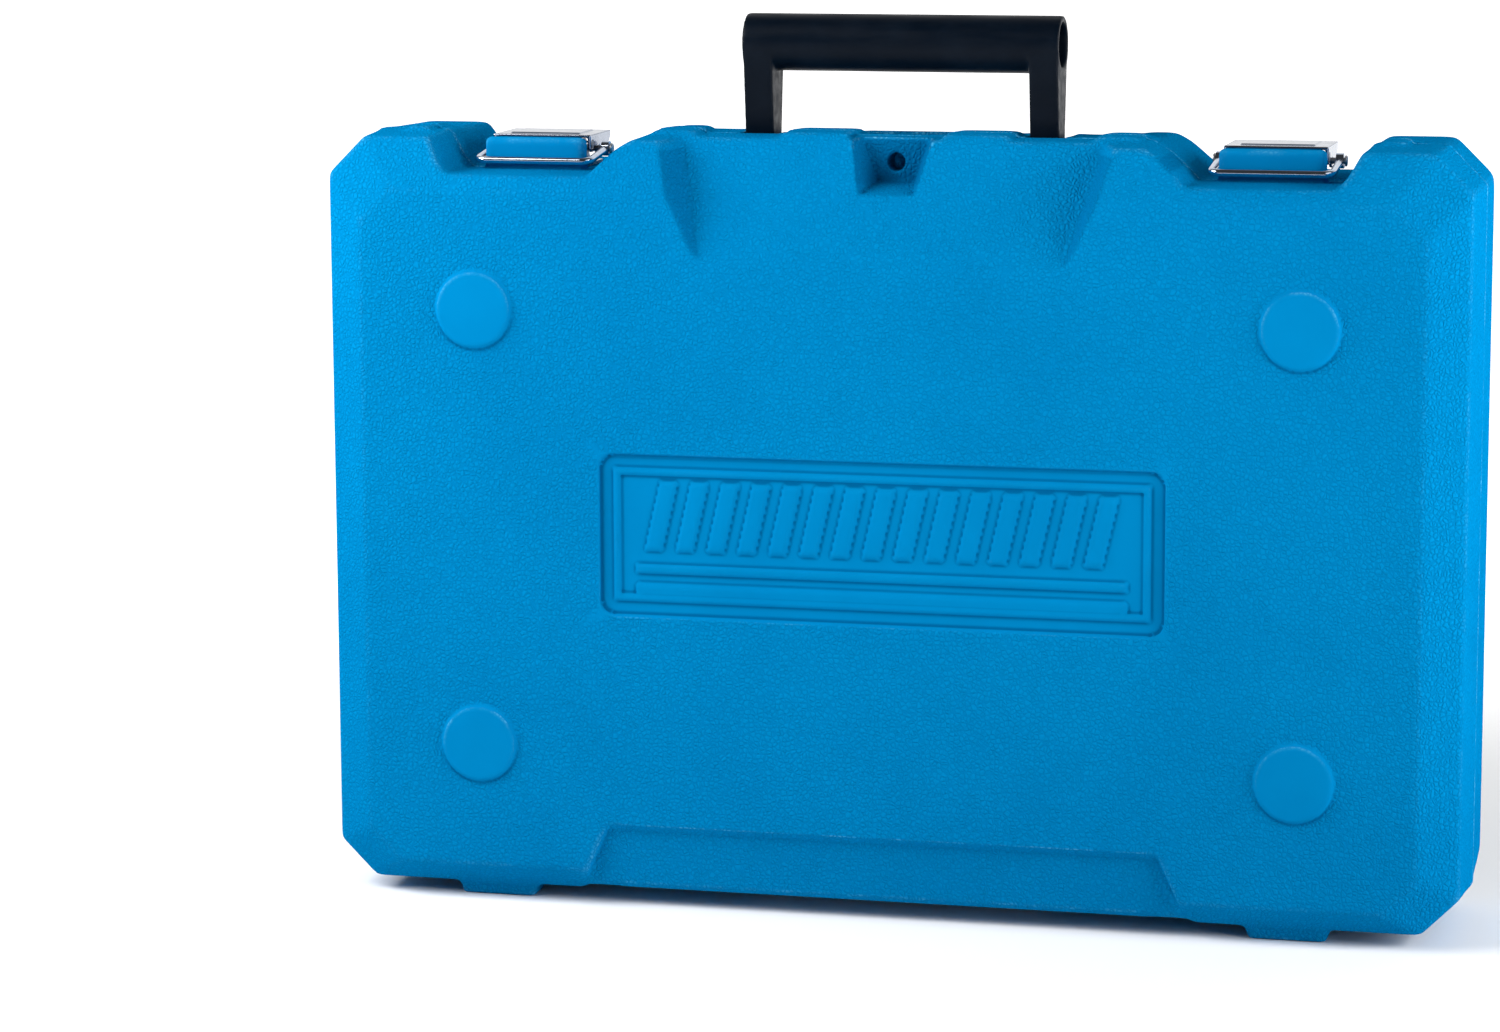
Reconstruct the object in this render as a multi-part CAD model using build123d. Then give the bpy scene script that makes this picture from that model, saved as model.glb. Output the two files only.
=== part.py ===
"""Blow-moulded carry case for a rotary hammer, standing upright on its feet.

Millimetres.  X runs to the right, Y to the back, Z up from the ground.
Two hollow half shells meet in a plane parallel to the front face.  The front half is the lid and
turns on two hinge pins along the bottom edge.  The carry handle folds back over the top edge, and
two over-centre draw latches hook over bosses on the lid.
"""
from build123d import *
import os

os.makedirs("parts", exist_ok=True)

# ---- case halves -------------------------------------------------------------------------------
FACE_Y = 51.0            # outer faces lie at -FACE_Y and +FACE_Y
PART_Y = -11.0           # plane where the two halves meet
PART_GAP = 0.3
SKIN = 2.3               # wall of the blow moulding
BEVEL_DEPTH = 10.0
FACE_HALF_W, FACE_BOTTOM, FACE_TOP, FACE_CORNER = 210.0, 15.0, 286.0, 13.0
EDGE_HALF_W, EDGE_BOTTOM, EDGE_TOP, EDGE_CORNER = 226.0, 5.3, 306.0, 15.0
RIM_HALF_W, RIM_BOTTOM, RIM_TOP, RIM_CORNER = 228.0, 4.8, 307.1, 15.0
BEVEL_INSET = 0.3        # share of the skin by which the inner bevel moves sideways
BEVEL_SHIFT = 0.56       # share of the skin by which the inner bevel edge moves inwards
OPEN_Z = 320.0           # above everything moulded in the shells
OPEN_Y = 60.0            # beyond both faces

# ---- moulded details ---------------------------------------------------------------------------
BUMP_X, BUMP_Z, BUMP_MID_Z, BUMP_R, BUMP_H = 163.0, 87.15, 152.0, 15.25, 1.8
BUMP_ROOT, BUMP_ROUND = 1.0, 1.2
SCOOP_BOTTOM_Z, SCOOP_HALF_W = 257.3, 71.4
SCOOP_TOP_Z, SCOOP_TOP_HALF_W = 335.0, 107.5
SCOOP_TAPER, SCOOP_CORNER_R = 20.0, 14.0
SCOOP_DEPTH_FRONT, SCOOP_DEPTH_REAR = 25.0, 32.0
TROUGH_FOOT_HALF_W, TROUGH_TOP_HALF_W, TROUGH_TOP_Z = 125.0, 110.0, 34.3
TROUGH_STEP = ((OPEN_Y, TROUGH_TOP_Z), (FACE_Y, TROUGH_TOP_Z), (48.0, 31.6), (45.0, 7.3), (24.0, 6.6),
               (22.0, 0.0), (OPEN_Y, 0.0))
PANEL_W, PANEL_H, PANEL_Z, PANEL_R, PANEL_DEPTH = 225.0, 64.4, 151.4, 6.0, 2.0
RIDGE_H, RIDGE_W, RIDGE_MARGIN = 1.2, 2.0, 6.0
SLANT_COUNT, SLANT_PITCH, SLANT_W, SLANT_LEAN = 15, 12.5, 6.0, 6.0
SLANT_Z0, SLANT_Z1 = 146.0, 172.0
RAIL_ZS, RAIL_HALF_W, RAIL_H = (130.0, 138.0), 97.0, 3.0
PAD_XS = ((-200.0, -188.0), (-98.0, -78.0), (-45.6, -17.0), (18.8, 47.0), (78.0, 98.0),
          (188.0, 200.0))
PAD_LENGTH, PAD_H = 14.0, 1.7
FOOT_X, FOOT_W, FOOT_H = 159.5, 34.5, 8.0
FOOT_FRONT, FOOT_REAR = (-40.0, -27.0), (25.0, 40.0)

# ---- padlock tabs ------------------------------------------------------------------------------
TAB_T = 7.0
TAB_HOLE_R, TAB_HOLE_Z = 3.5, 297.3
REAR_RECESS_Y = 14.0  # the rear recess is closed behind, so no light comes through the hole
RECESS_BOTTOM_Z, RECESS_HALF_W, RECESS_TOP_HALF_W = 290.3, 7.6, 18.5
RECESS_TAPER = 14.0
TAB_BLOCK_HALF_W, TAB_BLOCK_DEPTH, TAB_BLOCK_FLOOR_Z = 22.0, 13.0, 282.0
SOLID_TOP_Z = 310.0      # above the skin of the top edge

# ---- lid hinge ---------------------------------------------------------------------------------
HINGE_Z, BARREL_R, HINGE_PIN_R, RUN_GAP = 4.3, 4.0, 1.5, 0.05
KNUCKLE_START, KNUCKLE_L, KNUCKLE_COUNT, KNUCKLE_GAP = 60.0, 12.0, 5, 0.4
RELIEF_R = 4.5

# ---- handle ------------------------------------------------------------------------------------
GRIP_R, GRIP_BORE_R, GRIP_RISE, GRIP_HALF_L, GRIP_BORE_L = 11.25, 8.7, 42.5, 63.0, 9.0
LEG_INNER, LEG_OUTER, LEG_FOOT_R = 51.2, 62.7, 6.5
HANDLE_Y, HANDLE_Z = -3.5, 300.0
HANDLE_PIN_R, HANDLE_PIN_INNER, HANDLE_PIN_OUTER = 2.5, 45.0, 69.0
SLOT_INNER, SLOT_OUTER, SLOT_FLOOR_Z, SLOT_END_Y = 49.7, 64.2, 288.6, 34.0
PIN_BLOCK_INNER, PIN_BLOCK_OUTER, PIN_BLOCK_BACK_Y, PIN_BLOCK_FLOOR_Z = 42.0, 72.0, 5.0, 290.0

# ---- draw latches ------------------------------------------------------------------------------
LATCH_X = 147.0
NOTCH_FLOOR_Z = 292.0
NOTCH = ((55.0, OPEN_Z), (-64.0, OPEN_Z), (-56.0, 309.0), (-48.0, 307.3), (-40.0, 302.6), (-34.0, 297.0),
         (-29.0, NOTCH_FLOOR_Z), (28.0, NOTCH_FLOOR_Z), (32.0, 296.5), (36.5, 305.0), (40.0, 309.0))
BOSS_HALF_W, BOSS_FRONT_Y, BOSS_REAR_Y, BOSS_TOP_Z = 20.8, -20.0, -13.6, 304.5
BOSS_CORNER, BOSS_ROUND = 2.8, 2.0
LATCH_HINGE_Y, LATCH_HINGE_Z, LATCH_PIN_R = -6.0, 301.0, 1.5
BAIL_PIN_Y, BAIL_PIN_Z, BAIL_PIN_R = 3.0, 298.8, 1.25
SHEET = 1.2
LEVER_HALF_W, LEVER_FRONT_Y, LEVER_BACK_Y, LEVER_TOP_Z, LEVER_SIDE_Z = 20.2, -9.2, 20.0, 305.0, 298.0
LEVER_LOBE_R = 2.7
LIP_DROP = 1.6
PLATEAU_HALF_W, PLATEAU_FRONT_Y, PLATEAU_BACK_Y, PLATEAU_H = 14.5, -4.0, 15.0, 0.5
BASE_HALF_W, BASE_FRONT_Y, BASE_BACK_Y = 17.2, -9.5, 20.0
LIP_HALF_W = 15.4
EAR_R = 2.5
WIRE_R, BAIL_ARM_X, BAIL_FRONT_Y, BAIL_FRONT_Z, BAIL_BEND_R = 1.5, 23.25, -22.1, 295.6, 3.5
EYE_R = 3.0
BAIL_PIN_HALF_L, BAIL_HEAD_R, BAIL_HEAD_T = 25.2, 2.2, 0.8
RIVET_X, RIVET_YS, RIVET_R, RIVET_HEAD_R, RIVET_HEAD_T = 9.5, (2.0, 14.0), 1.6, 3.0, 1.0
RIVET_FLOOR_Z, RIVET_TAIL_T, RIVET_TAIL_R = 289.0, 1.4, 2.4
WASHER_R, WASHER_T = 4.2, 0.8
RIVET_POCKET = ((-19.0, 278.0), (19.0, 278.0), (19.0, RIVET_FLOOR_Z), (-19.0, RIVET_FLOOR_Z))
RIVET_POCKET_BACK_Y = 21.0

# ---- nest for the tool and its accessories, the same outlines in both halves -------------------
NEST_FRONT_Y, NEST_REAR_Y = -43.0, 40.0
NEST_SHALLOW_FRONT_Y, NEST_SHALLOW_REAR_Y = -33.0, 22.0
NEST_R = 9.0
NOSE = ((-208.0, 168.0), (-112.0, 168.0), (-112.0, 214.0), (-208.0, 214.0))
BODY = ((-122.0, 142.0), (84.0, 142.0), (84.0, 252.0), (-122.0, 252.0))
GRIP = ((64.0, 96.0), (204.0, 96.0), (204.0, 246.0), (64.0, 246.0))
GRIP_ISLAND = ((112.0, 126.0), (160.0, 126.0), (160.0, 204.0), (112.0, 204.0))
BITS = ((-206.0, 26.0), (-58.0, 26.0), (-58.0, 122.0), (-206.0, 122.0))
SIDE_HANDLE = ((-42.0, 26.0), (46.0, 26.0), (46.0, 122.0), (-42.0, 122.0))
SMALL_PARTS = ((62.0, 26.0), (206.0, 26.0), (206.0, 78.0), (62.0, 78.0))


def xz_plane(y):
    """Plane at depth y whose local axes are X and Z and whose normal points to the front."""
    return Plane(origin=(0, y, 0), x_dir=(1, 0, 0), z_dir=(0, -1, 0))


def along_y(points, y0, y1, grow=0.0, corner=0.0):
    """Prism from depth y0 to y1 with the outline given as (x, z) points."""
    outline = Polygon(*points, align=None)
    if corner:
        outline = fillet(outline.vertices(), corner)
    if grow:
        outline = offset(outline, amount=grow, kind=Kind.INTERSECTION)
    return extrude(xz_plane(y0) * outline, amount=y1 - y0, dir=(0, 1, 0))


def along_x(points, x0, x1, grow=0.0):
    """Prism from x0 to x1 with the outline given as (y, z) points."""
    outline = Polygon(*points, align=None)
    if grow:
        outline = offset(outline, amount=grow, kind=Kind.INTERSECTION)
    plane = Plane(origin=(x0, 0, 0), x_dir=(0, 1, 0), z_dir=(1, 0, 0))
    return extrude(plane * outline, amount=x1 - x0, dir=(1, 0, 0))


def rod(x0, x1, y, z, radius):
    """Round bar parallel to X."""
    return Pos((x0 + x1) / 2, y, z) * Rot(0, 90, 0) * Cylinder(radius, x1 - x0)


def block(x0, x1, y0, y1, z0, z1):
    """Box between two corners."""
    return Pos((x0 + x1) / 2, (y0 + y1) / 2, (z0 + z1) / 2) * Box(x1 - x0, y1 - y0, z1 - z0)


def octagon(half_w, bottom, top, corner, y):
    """Section of the case: a rectangle with cut corners at depth y."""
    points = [(-half_w, bottom + corner), (-half_w + corner, bottom), (half_w - corner, bottom),
              (half_w, bottom + corner), (half_w, top - corner), (half_w - corner, top),
              (-half_w + corner, top), (-half_w, top - corner)]
    return xz_plane(y) * Polygon(*points, align=None)


def half_body(side, inset=0.0):
    """Outer body of one half (side -1 is the front), or the space inside its skin."""
    face_inset = BEVEL_INSET * inset
    face = octagon(FACE_HALF_W - face_inset, FACE_BOTTOM + face_inset, FACE_TOP - face_inset, FACE_CORNER,
                   side * (FACE_Y - inset))
    edge = octagon(EDGE_HALF_W - inset, EDGE_BOTTOM + inset, EDGE_TOP - inset, EDGE_CORNER - inset / 2,
                   side * (FACE_Y - BEVEL_DEPTH - BEVEL_SHIFT * inset))
    rim = octagon(RIM_HALF_W - inset, RIM_BOTTOM + inset, RIM_TOP - inset, RIM_CORNER - inset / 2,
                  PART_Y + side * (PART_GAP / 2 + inset))
    return loft([face, edge, rim], ruled=True)


def scoop(side, depth, grow=0.0):
    """Sloping hollow in the top edge that clears the fingers and the folded handle."""
    outline = Polygon((-SCOOP_HALF_W, SCOOP_BOTTOM_Z), (SCOOP_HALF_W, SCOOP_BOTTOM_Z),
                      (SCOOP_TOP_HALF_W, SCOOP_TOP_Z), (-SCOOP_TOP_HALF_W, SCOOP_TOP_Z), align=None)
    outline = fillet(outline.vertices().sort_by(Axis.Y)[:2], SCOOP_CORNER_R)
    if grow:
        outline = offset(outline, amount=grow, kind=Kind.INTERSECTION)
    plane = Plane(origin=(0, side * (FACE_Y + 1), 0), x_dir=(side, 0, 0), z_dir=(0, -side, 0))
    hollow = extrude(plane * outline, amount=depth + grow + 4, taper=SCOOP_TAPER)
    slope = ((side * (FACE_Y + 4.0), SCOOP_BOTTOM_Z - 6.2), (side * (FACE_Y - depth), RIM_TOP),
             (side * (FACE_Y - depth), OPEN_Z), (side * OPEN_Y, OPEN_Z))
    return hollow & along_x(slope, -SCOOP_TOP_HALF_W - 10, SCOOP_TOP_HALF_W + 10, grow)


def padlock_recess(side, grow=0.0):
    """Trapezoid recess that narrows towards its floor, which is the padlock tab."""
    outline = Polygon((-RECESS_HALF_W, RECESS_BOTTOM_Z), (RECESS_HALF_W, RECESS_BOTTOM_Z),
                      (RECESS_TOP_HALF_W, OPEN_Z), (-RECESS_TOP_HALF_W, OPEN_Z), align=None)
    if grow:
        outline = offset(outline, amount=grow, kind=Kind.INTERSECTION)
    floor = PART_Y + side * (PART_GAP / 2 + TAB_T - grow)
    outer = side * OPEN_Y if side < 0 else REAR_RECESS_Y + grow
    plane = Plane(origin=(0, floor, 0), x_dir=(-side, 0, 0), z_dir=(0, side, 0))
    return extrude(plane * outline, amount=abs(outer - floor), taper=-RECESS_TAPER)


def latch_notch(centre, mirror, grow=0.0):
    """Gap in the top edge for one latch, with a broad round on the handle side."""
    points = [(centre + mirror * x, z) for x, z in NOTCH]
    return along_y(points, -OPEN_Y, OPEN_Y, grow)


def trough(side, grow=0.0):
    """Shallow tapered step in the bottom of the face, also raising the bottom edge."""
    sides = ((-TROUGH_FOOT_HALF_W, 0.0), (TROUGH_FOOT_HALF_W, 0.0), (TROUGH_TOP_HALF_W, TROUGH_TOP_Z),
             (-TROUGH_TOP_HALF_W, TROUGH_TOP_Z))
    step = [(side * y, z) for y, z in TROUGH_STEP]
    reach = TROUGH_FOOT_HALF_W + 15
    return along_x(step, -reach, reach, grow) & along_y(sides, -OPEN_Y, OPEN_Y, grow)


def panel_recess(grow=0.0):
    """Rectangular recess in the middle of the lid."""
    half_w, half_h = PANEL_W / 2, PANEL_H / 2
    points = ((-half_w, PANEL_Z - half_h), (half_w, PANEL_Z - half_h), (half_w, PANEL_Z + half_h),
              (-half_w, PANEL_Z + half_h))
    return along_y(points, -OPEN_Y, -FACE_Y + PANEL_DEPTH + grow, grow, PANEL_R)


def panel_ridges():
    """Plain raised frame, leaning ribs and two rails on the floor of the panel recess."""
    floor = -FACE_Y + PANEL_DEPTH
    half_w, half_h = PANEL_W / 2 - RIDGE_MARGIN, PANEL_H / 2 - RIDGE_MARGIN
    outer = ((-half_w, PANEL_Z - half_h), (half_w, PANEL_Z - half_h), (half_w, PANEL_Z + half_h),
             (-half_w, PANEL_Z + half_h))
    top, back = floor - RIDGE_H, floor + 0.5
    ridges = along_y(outer, top, back) - along_y(outer, top, back, -RIDGE_W)
    for i in range(SLANT_COUNT):
        x = (i - (SLANT_COUNT - 1) / 2) * SLANT_PITCH - SLANT_LEAN / 2
        points = ((x - SLANT_W / 2, SLANT_Z0), (x + SLANT_W / 2, SLANT_Z0),
                  (x + SLANT_W / 2 + SLANT_LEAN, SLANT_Z1), (x - SLANT_W / 2 + SLANT_LEAN, SLANT_Z1))
        ridges += along_y(points, top, back)
    for z in RAIL_ZS:
        ridges += block(-RAIL_HALF_W, RAIL_HALF_W, top, back, z - RAIL_H / 2, z + RAIL_H / 2)
    return ridges


def nest(side, grow=0.0):
    """Pockets that open at the parting plane: one for the tool, three for its accessories."""
    rim = PART_Y - side * 5.0
    deep = NEST_FRONT_Y if side < 0 else NEST_REAR_Y
    shallow = NEST_SHALLOW_FRONT_Y if side < 0 else NEST_SHALLOW_REAR_Y
    deep_span = sorted((rim, deep + side * grow))
    shallow_span = sorted((rim, shallow + side * grow))
    pockets = along_y(NOSE, *deep_span, grow, NEST_R)
    pockets += along_y(BODY, *deep_span, grow, NEST_R)
    grip = along_y(GRIP, *deep_span, grow, NEST_R) - along_y(GRIP_ISLAND, *deep_span, -grow, NEST_R)
    pockets += grip
    for outline in (BITS, SIDE_HANDLE, SMALL_PARTS):
        pockets += along_y(outline, *shallow_span, grow, NEST_R)
    return pockets


def knuckle_spans(own_side):
    """X ranges of the hinge knuckles of one half, rear half first in each group of five."""
    spans = []
    for group in (-1, 1):
        for i in range(KNUCKLE_COUNT):
            belongs_to = 1 if i % 2 == 0 else -1
            if belongs_to == own_side:
                near = group * (KNUCKLE_START + i * KNUCKLE_L)
                far = near + group * KNUCKLE_L
                spans.append((min(near, far), max(near, far)))
    return spans


def hinge_relief(side, grow=0.0):
    """Space in one half for the knuckles of the other half."""
    cut = Part()
    for x0, x1 in knuckle_spans(-side):
        cut += rod(x0 - grow, x1 + grow, PART_Y, HINGE_Z, RELIEF_R + grow)
    return cut


def leg_slots(grow=0.0):
    """Channels in the rear half that take the handle legs upright and folded."""
    cut = Part()
    for mirror in (-1, 1):
        x0, x1 = sorted((mirror * (SLOT_INNER - grow), mirror * (SLOT_OUTER + grow)))
        cut += block(x0, x1, PART_Y - 2, SLOT_END_Y + grow, SLOT_FLOOR_Z - grow, OPEN_Z)
    return cut


def rivet_pockets(grow=0.0):
    """Pockets under the latch notches of the rear half that reach the rivet tails."""
    cut = Part()
    for mirror in (-1, 1):
        points = [(mirror * LATCH_X + x, z) for x, z in RIVET_POCKET]
        cut += along_y(points, PART_Y - 5, RIVET_POCKET_BACK_Y + grow, grow)
    return cut


def cut_features(side, grow=0.0):
    """All hollows of one half, moved outwards by grow for the space inside the skin."""
    depth = SCOOP_DEPTH_FRONT if side < 0 else SCOOP_DEPTH_REAR
    cuts = [scoop(side, depth, grow), padlock_recess(side, grow), trough(side, grow), nest(side, grow),
            hinge_relief(side, grow), latch_notch(-LATCH_X, -1, grow), latch_notch(LATCH_X, 1, grow)]
    if side < 0:
        cuts.append(panel_recess(grow))
    else:
        cuts.append(leg_slots(grow))
        cuts.append(rivet_pockets(grow))
    return cuts


def solid_blocks(side):
    """Places moulded solid: behind the padlock tab, and around the handle pins in the rear half."""
    y0, y1 = sorted((PART_Y, PART_Y + side * TAB_BLOCK_DEPTH))
    blocks = block(-TAB_BLOCK_HALF_W, TAB_BLOCK_HALF_W, y0, y1, TAB_BLOCK_FLOOR_Z, SOLID_TOP_Z)
    if side > 0:
        for mirror in (-1, 1):
            x0, x1 = sorted((mirror * PIN_BLOCK_INNER, mirror * PIN_BLOCK_OUTER))
            blocks += block(x0, x1, PART_Y, PIN_BLOCK_BACK_Y, PIN_BLOCK_FLOOR_Z, SOLID_TOP_Z)
    return blocks


def bumps(side):
    """Four low round bumps on the outer face."""
    discs = Part()
    middle_y = side * (FACE_Y + (BUMP_H - BUMP_ROOT) / 2)
    for x in (-BUMP_X, BUMP_X):
        for z in (BUMP_MID_Z - BUMP_Z, BUMP_MID_Z + BUMP_Z):
            disc = Pos(x, middle_y, z) * Rot(90, 0, 0) * Cylinder(BUMP_R, BUMP_H + BUMP_ROOT)
            rim = disc.edges().sort_by(Axis.Y)[0 if side < 0 else -1]
            discs += fillet(rim, BUMP_ROUND)
    return discs


def feet(side):
    """Two pads under the bottom edge."""
    y0, y1 = FOOT_FRONT if side < 0 else FOOT_REAR
    pads = Part()
    for mirror in (-1, 1):
        x0, x1 = mirror * FOOT_X - FOOT_W / 2, mirror * FOOT_X + FOOT_W / 2
        profile = ((x0 + 2, 0.0), (x1 - 2, 0.0), (x1, FOOT_H), (x0, FOOT_H))
        pads += along_y(profile, y0, y1)
    return pads


def top_pads(side):
    """Raised pads on the top edge beside the parting plane."""
    rim = PART_Y + side * PART_GAP / 2
    y0, y1 = sorted((rim, rim + side * PAD_LENGTH))
    pads = Part()
    for x0, x1 in PAD_XS:
        profile = ((x0 - 1, RIM_TOP - 3), (x1 + 1, RIM_TOP - 3), (x1 - 1.5, RIM_TOP + PAD_H),
                   (x0 + 1.5, RIM_TOP + PAD_H))
        pads += along_y(profile, y0, y1)
    return pads


def catch_bosses():
    """Rounded blocks on the lid that the latch wires hook over."""
    parts = Part()
    for mirror in (-1, 1):
        centre = mirror * LATCH_X
        body = block(centre - BOSS_HALF_W, centre + BOSS_HALF_W, BOSS_FRONT_Y, BOSS_REAR_Y,
                     NOTCH_FLOOR_Z - 1, BOSS_TOP_Z)
        body = fillet(body.edges().filter_by(Axis.Z), BOSS_CORNER)
        top_edges = body.faces().sort_by(Axis.Z)[-1].edges()
        parts += fillet(top_edges, BOSS_ROUND)
    return parts


def knuckles(side):
    """Hinge barrels of one half with the pin bore."""
    bore = HINGE_PIN_R + (RUN_GAP if side < 0 else 0.0)
    barrels = Part()
    for x0, x1 in knuckle_spans(side):
        x0, x1 = x0 + KNUCKLE_GAP, x1 - KNUCKLE_GAP
        web_y0, web_y1 = sorted((PART_Y + side * 0.5, PART_Y + side * (BARREL_R + 2)))
        barrel = rod(x0, x1, PART_Y, HINGE_Z, BARREL_R)
        barrel += block(x0, x1, web_y0, web_y1, HINGE_Z + 0.6, HINGE_Z + BARREL_R)
        barrels += barrel
    return barrels, bore


def half_shell(side):
    """One complete half of the case."""
    shell = half_body(side)
    space = half_body(side, SKIN)
    for cut in cut_features(side):
        shell -= cut
    for cut in cut_features(side, SKIN):
        space -= cut
    space -= solid_blocks(side)
    shell -= space
    shell += bumps(side)
    shell += feet(side)
    shell += top_pads(side)
    barrels, bore = knuckles(side)
    shell += barrels
    bore_end = KNUCKLE_START + KNUCKLE_COUNT * KNUCKLE_L + 1
    for mirror in (-1, 1):
        ends = sorted((mirror * (KNUCKLE_START - 1), mirror * bore_end))
        shell -= rod(*ends, PART_Y, HINGE_Z, bore)
    shell -= Pos(0, PART_Y, TAB_HOLE_Z) * Rot(90, 0, 0) * Cylinder(TAB_HOLE_R, 3 * TAB_T)
    if side < 0:
        shell += catch_bosses()
        shell += panel_ridges()
    else:
        for mirror in (-1, 1):
            shell -= handle_pin(mirror)
            for x, y in rivet_places(mirror):
                shell -= Pos(x, y, NOTCH_FLOOR_Z) * Cylinder(RIVET_R, 12)
    return shell


def handle():
    """Tubular grip with two flat legs, upright."""
    grip = rod(-GRIP_HALF_L, GRIP_HALF_L, HANDLE_Y, HANDLE_Z + GRIP_RISE, GRIP_R)
    body = grip
    for mirror in (-1, 1):
        x0, x1 = sorted((mirror * LEG_INNER, mirror * LEG_OUTER))
        outline = ((HANDLE_Y - LEG_FOOT_R, HANDLE_Z), (HANDLE_Y + LEG_FOOT_R, HANDLE_Z),
                   (HANDLE_Y + GRIP_R, HANDLE_Z + GRIP_RISE), (HANDLE_Y - GRIP_R, HANDLE_Z + GRIP_RISE))
        body += along_x(outline, x0, x1)
        body += rod(x0, x1, HANDLE_Y, HANDLE_Z, LEG_FOOT_R)
    for mirror in (-1, 1):
        mouth = sorted((mirror * (GRIP_HALF_L - GRIP_BORE_L), mirror * (GRIP_HALF_L + 1)))
        body -= rod(*mouth, HANDLE_Y, HANDLE_Z + GRIP_RISE, GRIP_BORE_R)
        hole = sorted((mirror * (LEG_INNER - 1), mirror * (LEG_OUTER + 1)))
        body -= rod(*hole, HANDLE_Y, HANDLE_Z, HANDLE_PIN_R + RUN_GAP)
    return body


def rivet_places(mirror):
    """Positions of the rivets of one latch."""
    return [(mirror * LATCH_X + x, y) for x in (-RIVET_X, RIVET_X) for y in RIVET_YS]


def base_plate(centre):
    """Latch base: a sheet plate with two ears that carry the lever pin."""
    plate = block(centre - BASE_HALF_W, centre + BASE_HALF_W, BASE_FRONT_Y, BASE_BACK_Y, NOTCH_FLOOR_Z,
                  NOTCH_FLOOR_Z + SHEET)
    plate = fillet(plate.edges().filter_by(Axis.Z), 2.0)
    foot = ((LATCH_HINGE_Y + 2.6, NOTCH_FLOOR_Z + 0.2), (LATCH_HINGE_Y + 9.0, NOTCH_FLOOR_Z + 0.2),
            (LATCH_HINGE_Y + 2.2, LATCH_HINGE_Z + 1.1), (LATCH_HINGE_Y + 0.8, LATCH_HINGE_Z - 2.3))
    for mirror in (-1, 1):
        x0, x1 = sorted((centre + mirror * (BASE_HALF_W - SHEET), centre + mirror * BASE_HALF_W))
        plate += along_x(foot, x0, x1)
        plate += rod(x0, x1, LATCH_HINGE_Y, LATCH_HINGE_Z, EAR_R)
    ends = (centre - BASE_HALF_W - 1, centre + BASE_HALF_W + 1)
    plate -= rod(*ends, LATCH_HINGE_Y, LATCH_HINGE_Z, LATCH_PIN_R)
    for x in (-RIVET_X, RIVET_X):
        for y in RIVET_YS:
            plate -= Pos(centre + x, y, NOTCH_FLOOR_Z) * Cylinder(RIVET_R, 6)
    return plate


def lever(centre):
    """Pressed lever: flat top with side flanges, a front lip and a shallow raised field."""
    top = block(centre - LEVER_HALF_W, centre + LEVER_HALF_W, LEVER_FRONT_Y, LEVER_BACK_Y,
                LEVER_TOP_Z - SHEET, LEVER_TOP_Z)
    side = ((LEVER_FRONT_Y, LEVER_TOP_Z - 0.4), (LEVER_FRONT_Y, LEVER_SIDE_Z + 1.5),
            (LEVER_FRONT_Y + 2, LEVER_SIDE_Z), (LEVER_BACK_Y - 5, LEVER_SIDE_Z),
            (LEVER_BACK_Y, LEVER_TOP_Z - SHEET - 1), (LEVER_BACK_Y, LEVER_TOP_Z - 0.4))
    body = top
    for mirror in (-1, 1):
        x0, x1 = sorted((centre + mirror * (LEVER_HALF_W - SHEET), centre + mirror * LEVER_HALF_W))
        body += along_x(side, x0, x1)
        body += rod(x0, x1, BAIL_PIN_Y, BAIL_PIN_Z, LEVER_LOBE_R)
    body += block(centre - LIP_HALF_W, centre + LIP_HALF_W, LEVER_FRONT_Y,
                  LEVER_FRONT_Y + SHEET / 2, LEVER_TOP_Z - SHEET - LIP_DROP, LEVER_TOP_Z)
    field = block(centre - PLATEAU_HALF_W, centre + PLATEAU_HALF_W, PLATEAU_FRONT_Y, PLATEAU_BACK_Y,
                  LEVER_TOP_Z - 0.2, LEVER_TOP_Z + PLATEAU_H)
    body += chamfer(field.faces().sort_by(Axis.Z)[-1].edges(), 0.4)
    ends = (centre - LEVER_HALF_W - 1, centre + LEVER_HALF_W + 1)
    body -= rod(*ends, LATCH_HINGE_Y, LATCH_HINGE_Z, LATCH_PIN_R + RUN_GAP)
    body -= rod(*ends, BAIL_PIN_Y, BAIL_PIN_Z, BAIL_PIN_R)
    return body


def bail(centre):
    """Wire bail: one bent wire with an eye at each end."""
    left, right = centre - BAIL_ARM_X, centre + BAIL_ARM_X
    route = Polyline((left, BAIL_PIN_Y, BAIL_PIN_Z), (left, BAIL_FRONT_Y, BAIL_FRONT_Z),
                     (right, BAIL_FRONT_Y, BAIL_FRONT_Z), (right, BAIL_PIN_Y, BAIL_PIN_Z))
    path = fillet(route.vertices().sort_by(Axis.Y)[:2], BAIL_BEND_R)
    start = Plane(origin=path @ 0, z_dir=path % 0)
    wire = sweep(start * Circle(WIRE_R), path=path)
    for x in (left, right):
        wire += rod(x - WIRE_R, x + WIRE_R, BAIL_PIN_Y, BAIL_PIN_Z, EYE_R)
    wire -= rod(left - 3, right + 3, BAIL_PIN_Y, BAIL_PIN_Z, BAIL_PIN_R + RUN_GAP)
    return wire


def bail_pin(centre):
    """Pin through the lever flanges and both bail eyes, headed at each end."""
    pin = rod(centre - BAIL_PIN_HALF_L, centre + BAIL_PIN_HALF_L, BAIL_PIN_Y, BAIL_PIN_Z, BAIL_PIN_R)
    for mirror in (-1, 1):
        end = centre + mirror * BAIL_PIN_HALF_L
        x0, x1 = sorted((end, end + mirror * BAIL_HEAD_T))
        head = rod(x0, x1, BAIL_PIN_Y, BAIL_PIN_Z, BAIL_HEAD_R)
        rim = head.edges().sort_by(Axis.X)[0 if mirror < 0 else -1]
        pin += fillet(rim, 0.5)
    return pin


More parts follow.
